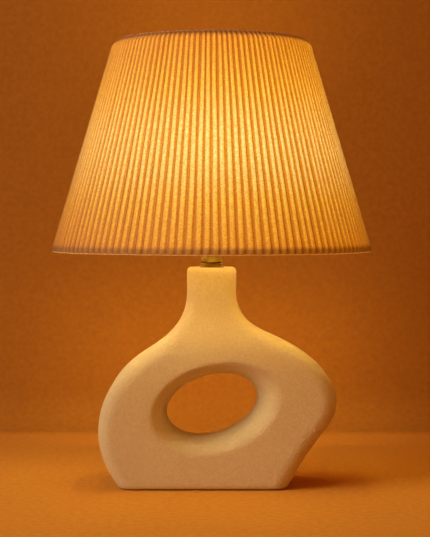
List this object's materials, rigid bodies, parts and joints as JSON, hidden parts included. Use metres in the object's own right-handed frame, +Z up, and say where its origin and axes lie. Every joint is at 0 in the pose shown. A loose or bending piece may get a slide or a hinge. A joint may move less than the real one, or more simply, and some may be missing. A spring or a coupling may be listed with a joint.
{
  "type": "table lamp",
  "caption": "Table lamp with a pleated conical fabric shade on a hollow ceramic base whose two limbs curve round an oval through-hole.",
  "frame": {"origin": "on the axis of the neck and shade, at the underside of the felt pad", "axes": "+Z up, -Y is the front, +X to the right, cord outlet in the back wall at +Y"},
  "size_m": [0.3027, 0.3028, 0.42],
  "materials": {
    "bisque": "unglazed, fine sandy bisque",
    "felt": "dense wool felt",
    "steel": "zinc-grey coated",
    "screw": "zinc plated",
    "brass": "satin brass",
    "bronze": "dark antique bronze",
    "gasket": "dark fibre",
    "grommet": "soft brown-black rubber",
    "nylon": "natural nylon",
    "lead_sheath": "soft sheath",
    "core_sheath": "soft core insulation",
    "holder_black": "moulded phenolic",
    "porcelain": "glazed insulator",
    "cap_metal": "rolled cap",
    "bulb_plastic": "white thermal plastic",
    "opal": "opal diffuser, lit",
    "board": "white-coated board",
    "chip": "phosphor",
    "wire": "cream-coated wire",
    "liner": "translucent film",
    "pleats": "pleated woven cotton, lit from inside",
    "hem": "folded pleated hem"
  },
  "bodies": {
    "base": {"ceramic_body": "bisque", "felt_pad": "felt", "bottom_cover": "steel", "foot_inserts": "brass", "cover_screws": "screw", "cord_grommet": "grommet", "cord_anchor_base": "nylon", "cord_anchor_cap": "nylon", "anchor_screws": "screw", "terminal_block": "nylon", "terminal_barrels": "brass", "block_screws": "screw", "inner_lead": "lead_sheath", "lead_cores": "core_sheath", "neck_bush": "screw", "threaded_nipple": "screw", "neck_ring": "brass", "fibre_washer": "gasket", "tapered_collar": "bronze", "lock_nut": "screw", "holder_cap": "holder_black", "holder_shell": "holder_black", "insulator_core": "porcelain", "terminal_screws": "screw", "screw_shell": "brass", "centre_contact": "brass", "switch_body": "holder_black", "switch_bush": "brass", "switch_nut": "brass"},
    "switch": {"switch_shaft": "brass", "switch_knob": "holder_black"},
    "retaining_ring": {"shade_ring": "holder_black"},
    "shade": {"bottom_wire_ring": "wire", "top_wire_ring": "wire", "fitter_ring": "wire", "spider_arms": "wire", "shade_liner": "liner", "shade_fabric": "pleats", "bottom_hem": "hem", "top_hem": "hem"},
    "bulb_tip": {"tip_contact": "cap_metal"},
    "bulb": {"screw_cap": "cap_metal", "cap_insulator": "holder_black", "bulb_housing": "bulb_plastic", "led_board": "board", "led_chips": "chip", "bulb_globe": "opal"}
  },
  "joints": [
    {"name": "switch_turn", "type": "hinge", "parent": "base", "child": "switch", "pos_m": [0.03, 0, 0.234], "axis": [1, 0, 0], "continuous": true},
    {"name": "shade_swivel", "type": "hinge", "parent": "base", "child": "shade", "pos_m": [0, 0, 0.25], "axis": [0, 0, 1], "continuous": true},
    {"name": "ring_turn", "type": "hinge", "parent": "base", "child": "retaining_ring", "pos_m": [0, 0, 0.254], "axis": [0, 0, 1], "range_deg": [0, 360]},
    {"name": "bulb_rise", "type": "slide", "parent": "base", "child": "bulb_tip", "axis": [0, 0, 1], "range_m": [0, 0.01451]},
    {"name": "bulb_turn", "type": "hinge", "parent": "bulb_tip", "child": "bulb", "pos_m": [0, 0, 0.28], "axis": [0, 0, 1], "range_deg": [0, 1440]}
  ],
  "couplings": [
    {"joint": "bulb_turn", "follows": "bulb_rise", "rad_per_m": 1731.4}
  ]
}
